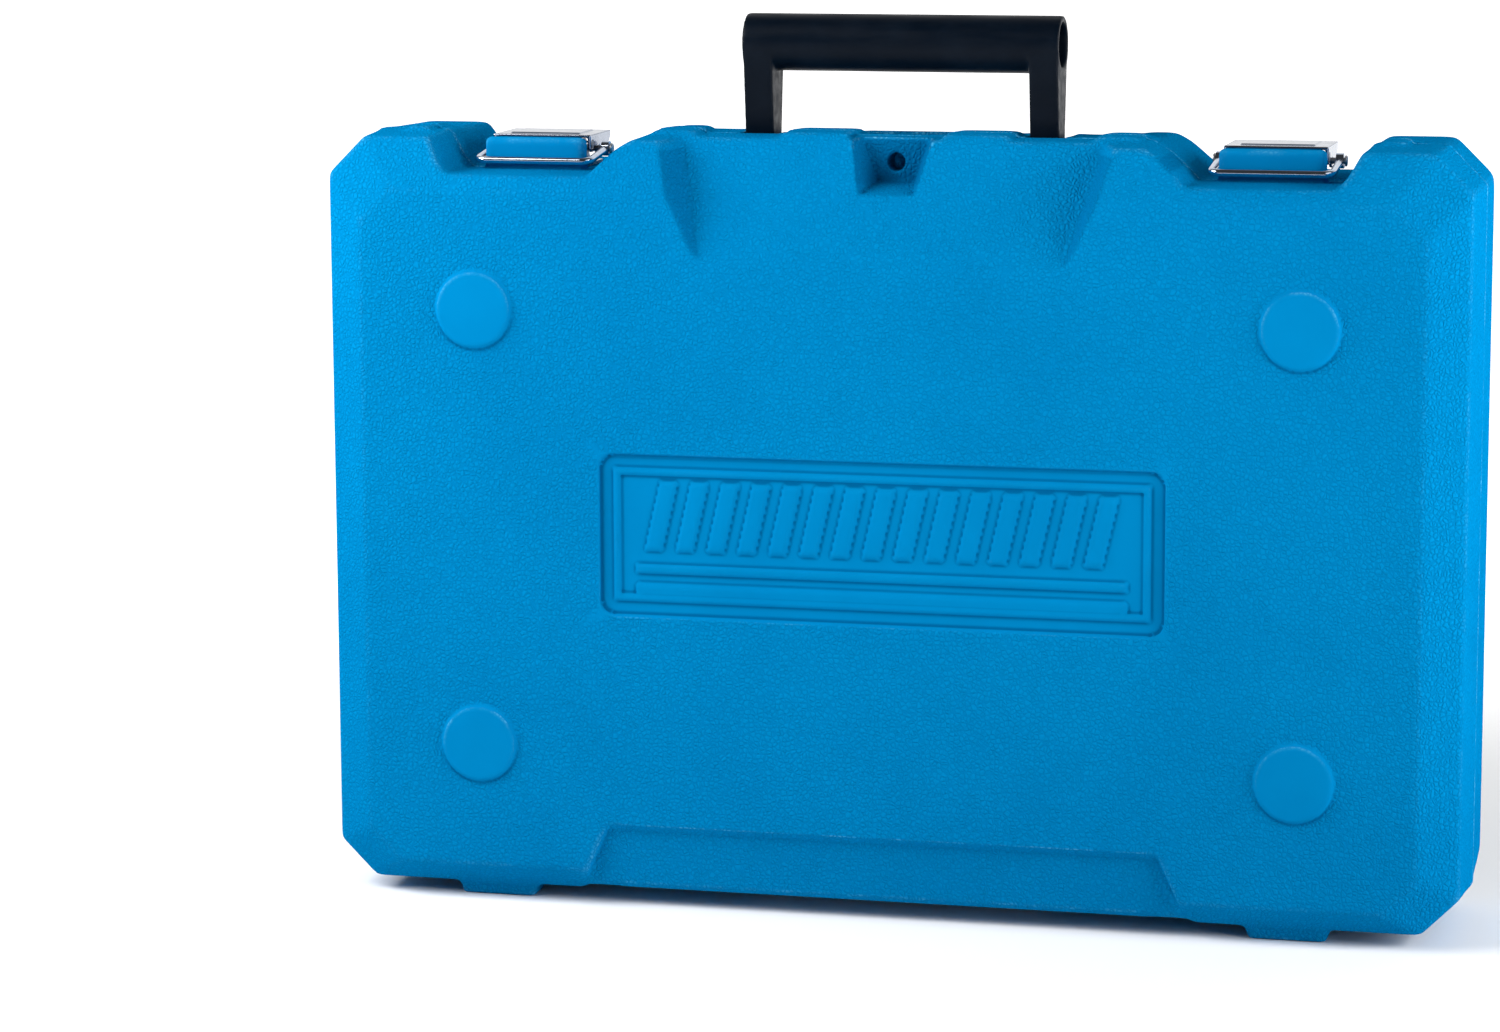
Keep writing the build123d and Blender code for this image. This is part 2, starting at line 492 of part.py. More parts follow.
def latch_hinge_pin(centre):
    """Pin through the ears of the base and the flanges of the lever."""
    return rod(centre - LEVER_HALF_W, centre + LEVER_HALF_W, LATCH_HINGE_Y, LATCH_HINGE_Z, LATCH_PIN_R)


def rivets(mirror):
    """Four rivets of one latch: head on the base plate, closed tail under the washer."""
    group = []
    low = RIVET_FLOOR_Z - WASHER_T - RIVET_TAIL_T
    high = NOTCH_FLOOR_Z + SHEET
    for x, y in rivet_places(mirror):
        shank = Pos(x, y, (low + high) / 2) * Cylinder(RIVET_R, high - low)
        head = Pos(x, y, high + RIVET_HEAD_T / 2) * Cylinder(RIVET_HEAD_R, RIVET_HEAD_T)
        head = fillet(head.edges().sort_by(Axis.Z)[-1], 0.7)
        tail = Pos(x, y, low + RIVET_TAIL_T / 2) * Cylinder(RIVET_TAIL_R, RIVET_TAIL_T)
        group.append((shank + head + tail).solid())
    return Compound(children=group)


def washers(mirror):
    """Backing washers between the rivet tails and the shell."""
    group = []
    for x, y in rivet_places(mirror):
        ring = Cylinder(WASHER_R, WASHER_T) - Cylinder(RIVET_R, WASHER_T)
        group.append((Pos(x, y, RIVET_FLOOR_Z - WASHER_T / 2) * ring).solid())
    return Compound(children=group)


def hinge_pin(mirror):
    """Lid hinge pin through one group of knuckles."""
    ends = sorted((mirror * KNUCKLE_START, mirror * (KNUCKLE_START + KNUCKLE_COUNT * KNUCKLE_L)))
    return rod(*ends, PART_Y, HINGE_Z, HINGE_PIN_R)


def handle_pin(mirror):
    """Pivot pin of one handle leg."""
    ends = sorted((mirror * HANDLE_PIN_INNER, mirror * HANDLE_PIN_OUTER))
    return rod(*ends, HANDLE_Y, HANDLE_Z, HANDLE_PIN_R)


def export(name, shape):
    """Write one subcomponent to its own file."""
    export_step(shape, f"parts/{name}.step")


export("front_shell", half_shell(-1))
export("rear_shell", half_shell(1))
export("handle", handle())
for label, mirror in (("left", -1), ("right", 1)):
    export(f"handle_pin_{label}", handle_pin(mirror))
    export(f"hinge_pin_{label}", hinge_pin(mirror))
    export(f"latch_base_{label}", base_plate(mirror * LATCH_X))
    export(f"latch_lever_{label}", lever(mirror * LATCH_X))
    export(f"latch_bail_{label}", bail(mirror * LATCH_X))
    export(f"latch_hinge_pin_{label}", latch_hinge_pin(mirror * LATCH_X))
    export(f"latch_bail_pin_{label}", bail_pin(mirror * LATCH_X))
    export(f"latch_rivets_{label}", rivets(mirror))
    export(f"latch_washers_{label}", washers(mirror))
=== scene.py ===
"""Looks of the carry case: soft blow-moulded shells, moulded handle, plated latches, studio."""

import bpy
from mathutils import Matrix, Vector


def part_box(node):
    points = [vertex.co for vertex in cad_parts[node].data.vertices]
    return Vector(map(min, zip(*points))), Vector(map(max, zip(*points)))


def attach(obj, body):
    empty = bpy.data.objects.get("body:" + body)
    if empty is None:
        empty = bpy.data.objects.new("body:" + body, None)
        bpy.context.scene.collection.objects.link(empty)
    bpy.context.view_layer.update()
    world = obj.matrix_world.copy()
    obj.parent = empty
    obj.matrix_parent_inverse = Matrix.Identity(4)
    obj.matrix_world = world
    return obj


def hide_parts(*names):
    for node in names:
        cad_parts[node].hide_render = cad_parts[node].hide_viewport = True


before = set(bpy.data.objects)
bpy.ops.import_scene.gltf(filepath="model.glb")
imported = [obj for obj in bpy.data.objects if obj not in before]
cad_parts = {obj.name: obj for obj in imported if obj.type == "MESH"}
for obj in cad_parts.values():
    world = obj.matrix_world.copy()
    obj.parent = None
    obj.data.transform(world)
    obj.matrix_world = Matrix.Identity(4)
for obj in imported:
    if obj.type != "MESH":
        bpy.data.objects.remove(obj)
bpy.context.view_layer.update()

import math

import bmesh
import bpy
import numpy as np
from mathutils import Matrix, Vector

MM = 0.001

# ---- camera, in the row frame --------------------------------------------------------------------
CAMERA_PLACE = (0.3898, -1.7582, 0.4502)
CAMERA_YAW, CAMERA_PITCH, CAMERA_ROLL = 14.48, 9.32, -0.26
CAMERA_LENS, SENSOR_WIDTH = 109.87, 36.0
CLIP_NEAR, CLIP_FAR = 0.05, 50.0

# ---- colours, linear -----------------------------------------------------------------------------
BLUE = (0.0003, 0.188, 0.430)
# The next colour is the pale of rubbed edges and of painted highlight on edges.
BLUE_WORN_AND_LIT = (0.110, 0.430, 0.640)
BLUE_DEEP = (0.0000, 0.128, 0.320)
# The next colour is painted shade for creases, recesses and the padlock hole.
BLUE_SHADE = (0.0000, 0.060, 0.170)
BLACK = (0.0008, 0.0030, 0.0070)
BLACK_SCUFFED = (0.0030, 0.0065, 0.0125)
WHITE = (1.0, 1.0, 1.0)
FLOOR_DULL, FLOOR_BRIGHT = (0.90, 0.90, 0.90), (0.94, 0.94, 0.94)

# Colour, least and most roughness, and the stretch of the rolling marks of each plated part.
STEELS = {
    "lever_plate": ((0.31, 0.35, 0.43), 0.10, 0.20, (0.2, 1.0, 1.0)),
    "bail_wire": ((0.50, 0.57, 0.68), 0.08, 0.18, (0.3, 1.0, 1.0)),
    "base_steel": ((0.40, 0.42, 0.47), 0.20, 0.38, (1.0, 0.2, 1.0)),
    "rivet_steel": ((0.55, 0.57, 0.60), 0.25, 0.45, (1.0, 1.0, 1.0)),
    "pin_steel": ((0.45, 0.46, 0.48), 0.25, 0.45, (0.2, 1.0, 1.0)),
}
DULL_STEEL = 0.72

# ---- patterns, in features per metre, and their depths ---------------------------------------------
NOISE_ROUGHNESS = 0.55
CLOUDS, PATCHES, FINE_SPECKS, SAGS = 14.0, 90.0, 2200.0, 28.0
CREASES, PEBBLES, GRAIN_WAVES = 560.0, 780.0, 300.0
GRAIN_DRIFT, GRAIN_DEPTH, SAG_DEPTH, FINE_DEPTH = 1.2 * MM, 0.30 * MM, 0.5 * MM, 0.02 * MM
# The last of these is how far painted shade darkens creases and recesses.
SMOOTH_TONE, VALLEY_TONE, SHADE_TONE = 0.16, 0.50, 0.80
SCUFFS, SCRATCHES, HANDLE_SPECKS = 70.0, 260.0, 3500.0
SCUFF_DEPTH, SPECK_DEPTH = 0.12 * MM, 0.03 * MM
ROLLING_MARKS, DULL_PATCHES = 900.0, 160.0
MARK_DEPTH, DULL_DEPTH = 0.02 * MM, 0.05 * MM
FLOOR_CLOUDS = 3.0

# ---- light and floor -------------------------------------------------------------------------------
SKY_FRONT, SKY_BACK = 0.05, 1.0
SKY_FRONT_Y, SKY_BACK_Y = 0.2, 0.7
KEY_POWER, FILL_POWER, RIGHT_POWER = 11.4, 1.4, 17.0
KEY_PLACE, FILL_PLACE, RIGHT_PLACE = (-0.64, -0.37, 0.67), (0.64, -0.37, 0.67), (1.21, -0.33, 0.49)
KEY_SIZE, FILL_SIZE, RIGHT_SIZE = 0.6, 0.6, 0.8
LIGHT_TARGET = Vector((0, 0, 0.15))
FLOOR_HALF, FLOOR_CELLS = 15.0, 8
SHADOW_R, WHITE_R = 0.32, 0.80

# ---- fineness of the meshes ------------------------------------------------------------------------
FRONT_VOXEL = 0.75 * MM
REAR_VOXEL = 1.1 * MM
HANDLE_VOXEL = 0.6 * MM
LEVER_VOXEL = 0.3 * MM
SOFT_ROUNDS = 40
FIRST_ROUNDS, HANDLE_ROUNDS, LEVER_ROUNDS = 3, 10, 3
SHELL_FACES, HANDLE_FACES, LEVER_FACES = 190000, 60000, 30000
WELD = 2e-6
SOFT_LEVELS = 10

# ---- places of features on the case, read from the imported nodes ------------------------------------
front_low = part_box("front_shell")[0]
rear_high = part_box("rear_shell")[1]
base_low, base_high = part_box("latch_base_right")
LATCH_X = (base_low.x + base_high.x) / 2
NOTCH_FLOOR = base_low.z
hinge_low, hinge_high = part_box("hinge_pin_right")
PARTING_Y = (hinge_low.y + hinge_high.y) / 2
HINGE_Z = (hinge_low.z + hinge_high.z) / 2

BUMP_HEIGHT = 1.8 * MM
FRONT_FACE = front_low.y + BUMP_HEIGHT
REAR_FACE = rear_high.y - BUMP_HEIGHT
NEAR_FACE = 3.0 * MM
BUMP_X, BUMP_ZS, BUMP_R = 163.0 * MM, (64.85 * MM, 239.15 * MM), 15.25 * MM
# The second of these sets how sharply a bump's edge turns, with the way it faces, from painted highlight on
# top to painted shade below.
BUMP_MARGIN, BUMP_LIT_SIDE = 3 * MM, 1.5

# Boxes as (lowest corner, highest corner).
PANEL_BOX = ((-0.1125, -0.0530, 0.1192), (0.1125, -0.0488, 0.1836))
HOLE_BOX = ((-0.0035, -0.0170, 0.2938), (0.0035, 0.0200, 0.3008))
SCOOP_BOX = ((-0.112, -0.054, 0.250), (0.112, -0.012, 0.302))
RECESS_BOX = ((-0.0165, -0.049, 0.2895), (0.0165, -0.0140, 0.3065))
NEST_BOX = ((-0.21, -0.046, 0.02), (0.21, 0.043, 0.26))
CRISP_BOXES = (
    ((-0.118, -0.053, 0.116), (0.118, -0.046, 0.186)),
    ((-0.105, -0.053, -0.01), (0.105, -0.040, 0.036)),
    ((-0.30, PARTING_Y - 0.003, -0.01), (0.30, PARTING_Y + 0.003, 0.32)),
    ((-0.122, PARTING_Y - 0.008, -0.01), (0.122, PARTING_Y + 0.008, HINGE_Z + 0.008)),
    ((-0.018, -0.036, 0.284), (0.018, 0.020, 0.31)),
    ((-0.067, PARTING_Y, 0.284), (-0.047, 0.036, 0.31)),
    ((0.047, PARTING_Y, 0.284), (0.067, 0.036, 0.31)),
)
# Regions at a latch: half width, span in y, and span in z above the floor of its notch.
LATCH_REGION = (0.026, (-0.026, 0.026), (-0.016, 0.014))
BOSS_REGION = (0.0215, (-0.0212, -0.0125), (0.001, 0.014))
LATCH_CRISP, NEST_CRISP = 0.75, 0.6
CRISP_BLEND, SHELTER_BLEND, GRAIN_BLEND, EDGE_BLEND = 4 * MM, 2 * MM, 1.2 * MM, MM

# How strongly painted shade darkens the padlock recess and the steep scoop walls, and how far sheltered
# places are kept from rubbed pale edges and painted highlight.
SCOOP_NORMAL = np.array((0.0, -0.894, 0.447))
SCOOP_MATCH, SCOOP_MATCH_BLEND = 0.97, 0.05
RECESS_SHADE, SCOOP_SHADE, STEEP = 0.070, 0.055, 0.45
PANEL_SHELTER = 0.8


# ---- mesh tools ------------------------------------------------------------------------------------
def points_of(mesh):
    """Vertex coordinates as an array."""
    flat = np.empty(len(mesh.vertices) * 3, np.float32)
    mesh.vertices.foreach_get("co", flat)
    return flat.reshape(-1, 3).astype(float)


def normals_of(mesh):
    """Vertex normals as an array."""
    flat = np.empty(len(mesh.vertices) * 3, np.float32)
    mesh.vertex_normals.foreach_get("vector", flat)
    return flat.reshape(-1, 3).astype(float)


def store(mesh, name, values):
    """Stores one number per vertex under a name that materials can read."""
    attribute = mesh.attributes.new(name, "FLOAT", "POINT")
    attribute.data.foreach_set("value", values.astype(np.float32))


def linked_to(seed, group, label):
    """Labels every vertex that edges link to the seed, and gives the width of them all."""
    stack, xs = [seed], []
    group[seed.index] = label
    while stack:
        vertex = stack.pop()
        xs.append(vertex.co.x)
        for edge in vertex.link_edges:
            other = edge.other_vert(vertex)
            if group[other.index] < 0:
                group[other.index] = label
                stack.append(other)
    return max(xs) - min(xs)


def outer_mesh(node):
    """Copy of a CAD node's mesh with its seams welded and any closed inner space dropped."""
    bm = bmesh.new()
    bm.from_mesh(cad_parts[node].data)
    bmesh.ops.remove_doubles(bm, verts=bm.verts, dist=WELD)
    bm.verts.ensure_lookup_table()
    bm.verts.index_update()
    group = np.full(len(bm.verts), -1)
    widths = []
    for seed in bm.verts:
        if group[seed.index] < 0:
            widths.append(linked_to(seed, group, len(widths)))
    widest = int(np.argmax(widths))
    dropped = [v for v in bm.verts if group[v.index] != widest]
    bmesh.ops.delete(bm, geom=dropped, context="VERTS")
    mesh = bpy.data.meshes.new(node)
    bm.to_mesh(mesh)
    bm.free()
    return mesh


def baked(obj):
    """Replaces an object's mesh with its modified mesh and clears the modifiers."""
    graph = bpy.context.evaluated_depsgraph_get()
    mesh = bpy.data.meshes.new_from_object(obj.evaluated_get(graph))
    obj.modifiers.clear()
    obj.data = mesh


def remeshed(node, voxel):
    """New object with an even mesh over the shape of a CAD node."""
    obj = bpy.data.objects.new(node + "_skin", outer_mesh(node))
    bpy.context.scene.collection.objects.link(obj)
    remesh = obj.modifiers.new("even", "REMESH")
    remesh.mode = "VOXEL"
    remesh.voxel_size = voxel
    baked(obj)
    return obj


def smoothed(obj, rounds, weights=None):
    """Rounds every edge, more where the weight is larger."""
    smooth = obj.modifiers.new("round", "SMOOTH")
    smooth.factor = 0.5
    smooth.iterations = rounds
    if weights is not None:
        group = obj.vertex_groups.new(name="soft")
        for level in range(1, SOFT_LEVELS + 1):
            chosen = np.flatnonzero(np.rint(weights * SOFT_LEVELS) == level)
            if len(chosen):
                group.add(chosen.tolist(), level / SOFT_LEVELS, "REPLACE")
        smooth.vertex_group = "soft"
    baked(obj)
    obj.vertex_groups.clear()


def thinned(obj, faces):
    """Fewer triangles, kept where the shape bends, and smooth shading."""
    triangles = len(obj.data.polygons) * 2
    if triangles > faces:
        thin = obj.modifiers.new("thin", "DECIMATE")
        thin.ratio = faces / triangles
        baked(obj)
    obj.data.polygons.foreach_set("use_smooth", np.ones(len(obj.data.polygons), bool))


def box_weight(points, low, high, blend):
    """1 inside a box, falling to 0 within the blend distance outside it."""
    gap = np.maximum(np.maximum(np.array(low) - points, points - np.array(high)), 0)
    distance = np.linalg.norm(gap, axis=1)
    return 1 - np.clip(distance / blend, 0, 1)


def convexity(mesh, voxel):
    """How much each vertex stands out of its neighbours, about 1 on a sharp outer edge."""
    points = points_of(mesh)
    edges = np.empty(len(mesh.edges) * 2, np.int32)
    mesh.edges.foreach_get("vertices", edges)
    edges = edges.reshape(-1, 2)
    total = np.zeros_like(points)
    count = np.zeros(len(points))
    for a, b in ((0, 1), (1, 0)):
        np.add.at(total, edges[:, a], points[edges[:, b]])
        np.add.at(count, edges[:, a], 1)
    offset = points - total / np.maximum(count, 1)[:, None]
    return (offset * normals_of(mesh)).sum(1) / voxel


# ---- node tools ------------------------------------------------------------------------------------
class Material:
    """Small wrapper that builds one node material."""

    def __init__(self, name):
        self.data = bpy.data.materials.new("look_" + name)
        self.data.use_nodes = True
        self.tree = self.data.node_tree
        self.shader = self.tree.nodes["Principled BSDF"]
        self.place = self.add("ShaderNodeTexCoord").outputs["Object"]

    def add(self, kind, **settings):
        """Adds a node and sets its properties."""
        node = self.tree.nodes.new(kind)
        for key, value in settings.items():
            setattr(node, key, value)
        return node

    def feed(self, socket, value):
        """Links an output to a socket, or sets the socket to a constant."""
        if hasattr(value, "is_output"):
            self.tree.links.new(value, socket)
        else:
            socket.default_value = value

    def set(self, name, value):
        """Sets or links one input of the shader."""
        if not hasattr(value, "is_output") and hasattr(value, "__len__") and len(value) == 3:
            value = (*value, 1.0)
        self.feed(self.shader.inputs[name], value)

    def noise(self, scale, detail, place=None):
        """Cloudy pattern, 0 to 1, with scale in features per metre."""
        node = self.add("ShaderNodeTexNoise")
        self.feed(node.inputs["Vector"], place or self.place)
        node.inputs["Scale"].default_value = scale
        node.inputs["Detail"].default_value = detail
        node.inputs["Roughness"].default_value = NOISE_ROUGHNESS
        return node.outputs["Fac"]

    def drifted(self, scale, reach):
        """Object coordinates with small random offsets, in metres."""
        node = self.add("ShaderNodeTexNoise")
        self.feed(node.inputs["Vector"], self.place)
        node.inputs["Scale"].default_value = scale
        centred = self.add("ShaderNodeVectorMath", operation="SUBTRACT")
        self.feed(centred.inputs[0], node.outputs["Color"])
        centred.inputs[1].default_value = (0.5, 0.5, 0.5)
        scaled = self.add("ShaderNodeVectorMath", operation="SCALE")
        self.feed(scaled.inputs[0], centred.outputs["Vector"])
        scaled.inputs["Scale"].default_value = reach
        moved = self.add("ShaderNodeVectorMath", operation="ADD")
        self.feed(moved.inputs[0], self.place)
        self.feed(moved.inputs[1], scaled.outputs["Vector"])
        return moved.outputs["Vector"]

    def stretched(self, factors):
        """Object coordinates scaled per axis."""
        node = self.add("ShaderNodeMapping")
        self.feed(node.inputs["Vector"], self.place)
        node.inputs["Scale"].default_value = factors
        return node.outputs["Vector"]

    def cells(self, scale, feature, place):
        """Distance pattern of a Voronoi texture."""
        node = self.add("ShaderNodeTexVoronoi", feature=feature)
        self.feed(node.inputs["Vector"], place)
        node.inputs["Scale"].default_value = scale
        return node.outputs["Distance"]

    def math(self, operation, a, b):
        """One math node."""
        node = self.add("ShaderNodeMath", operation=operation)
        self.feed(node.inputs[0], a)
        self.feed(node.inputs[1], b)
        return node.outputs[0]

    def span(self, value, low, high, to_low=0.0, to_high=1.0):
        """Maps a range of values to another, clamped and smoothed at its ends."""
        node = self.add("ShaderNodeMapRange", interpolation_type="SMOOTHSTEP")
        self.feed(node.inputs["Value"], value)
        node.inputs["From Min"].default_value = low
        node.inputs["From Max"].default_value = high
        node.inputs["To Min"].default_value = to_low
        node.inputs["To Max"].default_value = to_high
        return node.outputs["Result"]

    def mix(self, share, a, b):
        """Mixes two colours."""
        node = self.add("ShaderNodeMix", data_type="RGBA")
        self.feed(node.inputs["Factor"], share)
        for socket, value in ((node.inputs["A"], a), (node.inputs["B"], b)):
            self.feed(socket, value if hasattr(value, "is_output") else (*value, 1.0))
        return node.outputs["Result"]

    def stored(self, name):
        """A number stored per vertex."""
        return self.add("ShaderNodeAttribute", attribute_name=name).outputs["Fac"]

    def bump(self, height, distance, strength, under=None):
        """Bump of a height pattern, over an optional bump under it."""
        node = self.add("ShaderNodeBump")
        self.feed(node.inputs["Height"], height)
        self.feed(node.inputs["Strength"], strength)
        node.inputs["Distance"].default_value = distance
        if under is not None:
            self.feed(node.inputs["Normal"], under)
        return node.outputs["Normal"]


# ---- materials -------------------------------------------------------------------------------------
def case_colour(m, crease, patch, grain_mask):
    """Cloudy blue, pale on edges from rubbing and painted highlight, deeper in the grain, and darkest where
    painted shade falls in creases, recesses and the padlock hole.
    """
    tint = m.mix(m.span(m.noise(CLOUDS, 4.0), 0.35, 0.68, 0.0, 0.30), BLUE, BLUE_DEEP)
    # Pale edges: partly rubbed, partly painted highlight on convex edges, on bumps only on their top halves.
    worn_and_lit = m.math("MULTIPLY", m.span(m.stored("wear_and_highlight"), 0.006, 0.10), m.span(patch, 0.38, 0.68, 0.05, 0.8))
    speckled = m.math("MULTIPLY", worn_and_lit, m.span(crease, 0.02, 0.30, 0.20, 0.70))
    tint = m.mix(speckled, tint, BLUE_WORN_AND_LIT)
    valley = m.math("MULTIPLY", m.span(crease, 0.0, 0.25, 1.0, 0.0), grain_mask)
    plain = m.math("MULTIPLY", m.math("SUBTRACT", 1.0, grain_mask), SMOOTH_TONE)
    tint = m.mix(m.math("ADD", plain, m.math("MULTIPLY", valley, VALLEY_TONE)), tint, BLUE_DEEP)
    # Painted shade in creases, the padlock hole and its recess, and on the steep scoop walls.
    shade_share = m.math("MULTIPLY", m.span(m.stored("painted_shade"), 0.005, 0.11), SHADE_TONE)
    return m.mix(shade_share, tint, BLUE_SHADE)


def case_plastic():
    """Blue polyethylene with a moulded leather grain."""
    m = Material("case_plastic")
    grain_mask = m.stored("grain")
    patch = m.noise(PATCHES, 3.0)
    fine = m.noise(FINE_SPECKS, 2.0)
    warped = m.drifted(GRAIN_WAVES, GRAIN_DRIFT)
    crease = m.cells(CREASES, "DISTANCE_TO_EDGE", warped)
    pebble = m.cells(PEBBLES, "SMOOTH_F1", warped)
    m.set("Base Color", case_colour(m, crease, patch, grain_mask))
    m.set("Roughness", m.math("ADD", m.span(patch, 0.2, 0.8, 0.50, 0.62), m.math("MULTIPLY", fine, 0.06)))
    m.set("Specular IOR Level", 0.0)
    relief = m.math("SUBTRACT", m.span(crease, 0.0, 0.32), m.math("MULTIPLY", pebble, 0.5))
    grain = m.bump(relief, GRAIN_DEPTH, grain_mask)
    sag = m.bump(m.noise(SAGS, 2.0), SAG_DEPTH, 0.35, grain)
    m.set("Normal", m.bump(fine, FINE_DEPTH, 0.35, sag))
    return m.data


def handle_plastic():
    """Near-black moulded plastic with faint scuffs."""
    m = Material("handle_plastic")
    patch = m.noise(SCUFFS, 4.0)
    scratch = m.noise(SCRATCHES, 3.0, m.stretched((0.25, 1.0, 1.0)))
    fine = m.noise(HANDLE_SPECKS, 2.0)
    m.set("Base Color", m.mix(m.span(patch, 0.4, 0.75, 0.0, 0.5), BLACK, BLACK_SCUFFED))
    m.set("Roughness", m.math("ADD", m.span(scratch, 0.3, 0.7, 0.30, 0.46), m.math("MULTIPLY", fine, 0.05)))
    m.set("Specular IOR Level", 0.06)
    m.set("Normal", m.bump(fine, SPECK_DEPTH, 0.4, m.bump(patch, SCUFF_DEPTH, 0.3)))
    return m.data


def plated_steel(name, tone, rough_low, rough_high, brush):
    """Bright plated steel with fine rolling marks and dull patches."""
    m = Material(name)
    marks = m.noise(ROLLING_MARKS, 3.0, m.stretched(brush))
    patch = m.noise(DULL_PATCHES, 3.0)
    dull = tuple(value * DULL_STEEL for value in tone)
    m.set("Base Color", m.mix(m.span(patch, 0.45, 0.8, 0.0, 0.5), tone, dull))
    m.set("Metallic", 1.0)
    worn = m.math("ADD", marks, m.math("MULTIPLY", patch, 0.6))
    m.set("Roughness", m.span(worn, 0.5, 1.1, rough_low, rough_high))
    m.set("Normal", m.bump(marks, MARK_DEPTH, 0.35, m.bump(patch, DULL_DEPTH, 0.20)))
    return m.data


# ---- shells ----------------------------------------------------------------------------------------
def off_bumps(points, face_y, radius, blend):
    """0 on the four round bumps of a face, rising to 1 outside them."""
    clear = np.ones(len(points))
    near_face = np.abs(points[:, 1] - face_y) < NEAR_FACE
    for x in (-BUMP_X, BUMP_X):
        for z in BUMP_ZS:
            away = np.hypot(points[:, 0] - x, points[:, 2] - z)
            clear *= np.where(near_face, np.clip((away - radius) / blend, 0, 1), 1)
    return clear


def latch_weight(points, middle, half_w, ys, zs, blend):
    """Weight of a box at one latch."""
    low = (middle - half_w, ys[0], NOTCH_FLOOR + zs[0])
    high = (middle + half_w, ys[1], NOTCH_FLOOR + zs[1])
    return box_weight(points, low, high, blend)


def shell_weights(points, face_y):
    """Where the moulding is rounded broadly (1) and where small details stay crisp (near 0)."""
    soft = off_bumps(points, face_y, BUMP_R + BUMP_MARGIN, CRISP_BLEND)
    for low, high in CRISP_BOXES:
        soft *= 1 - box_weight(points, low, high, CRISP_BLEND)
    for middle in (-LATCH_X, LATCH_X):
        soft *= 1 - LATCH_CRISP * latch_weight(points, middle, *LATCH_REGION, CRISP_BLEND)
    soft *= 1 - NEST_CRISP * box_weight(points, *NEST_BOX, CRISP_BLEND)
    return soft


def grain_of(points, face_y):
    """1 where the surface carries the leather grain, 0 on the smooth fields."""
    grain = off_bumps(points, face_y, BUMP_R, GRAIN_BLEND)
    grain *= 1 - box_weight(points, *PANEL_BOX, EDGE_BLEND)
    for middle in (-LATCH_X, LATCH_X):
        grain *= 1 - latch_weight(points, middle, *BOSS_REGION, EDGE_BLEND)
    return grain


def shade_of(points, normals):
    """Painted shade where little light reaches: the padlock hole and its recess, and the steep scoop walls.
    """
    steep = np.clip(np.abs(normals[:, 0]) / STEEP, 0, 1)
    walls = SCOOP_SHADE * steep * box_weight(points, *SCOOP_BOX, EDGE_BLEND)
    off_slope = np.clip((SCOOP_MATCH - normals @ SCOOP_NORMAL) / SCOOP_MATCH_BLEND, 0, 1)
    recess = RECESS_SHADE * off_slope * box_weight(points, *RECESS_BOX, EDGE_BLEND)
    return np.maximum(np.maximum(walls, recess), box_weight(points, *HOLE_BOX, EDGE_BLEND))


def mark(mesh, face_y, voxel):
    """Stores where a shell has grain, where its edges are pale from rubbing and painted highlight, and where
    painted shade darkens it.
    """
    points, normals = points_of(mesh), normals_of(mesh)
    stands_out = convexity(mesh, voxel)
    at_bump = 1 - off_bumps(points, face_y, BUMP_R + BUMP_MARGIN, EDGE_BLEND)
    # Bump edges that face up get painted highlight, those that face down painted shade.
    lit_side = np.clip(0.5 + BUMP_LIT_SIDE * normals[:, 2], 0, 1)
    sheltered = np.maximum(PANEL_SHELTER * box_weight(points, *PANEL_BOX, SHELTER_BLEND),
                           box_weight(points, *SCOOP_BOX, SHELTER_BLEND))
    sheltered = np.maximum(sheltered, at_bump * (1 - lit_side))
    # Painted shade in creases, taken off the top halves of the bump edges.
    crease_shade = -stands_out * (1 - at_bump * lit_side)
    store(mesh, "grain", grain_of(points, face_y))
    # Pale edges from rubbing and painted highlight.
    store(mesh, "wear_and_highlight", np.clip(stands_out * (1 - sheltered), 0, 1))
    # Painted shade in creases, the padlock hole and its recess, and on the scoop walls.
    store(mesh, "painted_shade", np.clip(np.maximum(crease_shade, shade_of(points, normals)), 0, 1))


# ---- pieces ----------------------------------------------------------------------------------------
def give_look(obj, slot):
    """Gives an object the material of a slot."""
    obj.data.materials.clear()
    obj.data.materials.append(LOOKS[slot])


def stand_in(obj, node, body, slot):
    """Makes an object the visible piece of a CAD node."""
    give_look(obj, slot)
    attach(obj, body)
    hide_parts(node)


def soft_shell(node, body, face_y, voxel):
    """Blow-moulded skin over one half shell."""
    obj = remeshed(node, voxel)
    smoothed(obj, FIRST_ROUNDS)
    smoothed(obj, SOFT_ROUNDS, shell_weights(points_of(obj.data), face_y))
    mark(obj.data, face_y, voxel)
    thinned(obj, SHELL_FACES)
    stand_in(obj, node, body, "case_plastic")


def soft_piece(node, body, slot, voxel, rounds, faces):
    """Softened copy of one small CAD node."""
    obj = remeshed(node, voxel)
    smoothed(obj, rounds)
    thinned(obj, faces)
    stand_in(obj, node, body, slot)


# ---- studio ----------------------------------------------------------------------------------------
def light(name, place, size, power):
    """White square soft box that faces the middle of the case."""
    data = bpy.data.lights.new(name, "AREA")
    data.shape = "SQUARE"
    data.size = size
    data.energy = power
    obj = bpy.data.objects.new(name, data)
    bpy.context.scene.collection.objects.link(obj)
    obj.location = place
    obj.rotation_euler = (LIGHT_TARGET - Vector(place)).to_track_quat("-Z", "Y").to_euler()


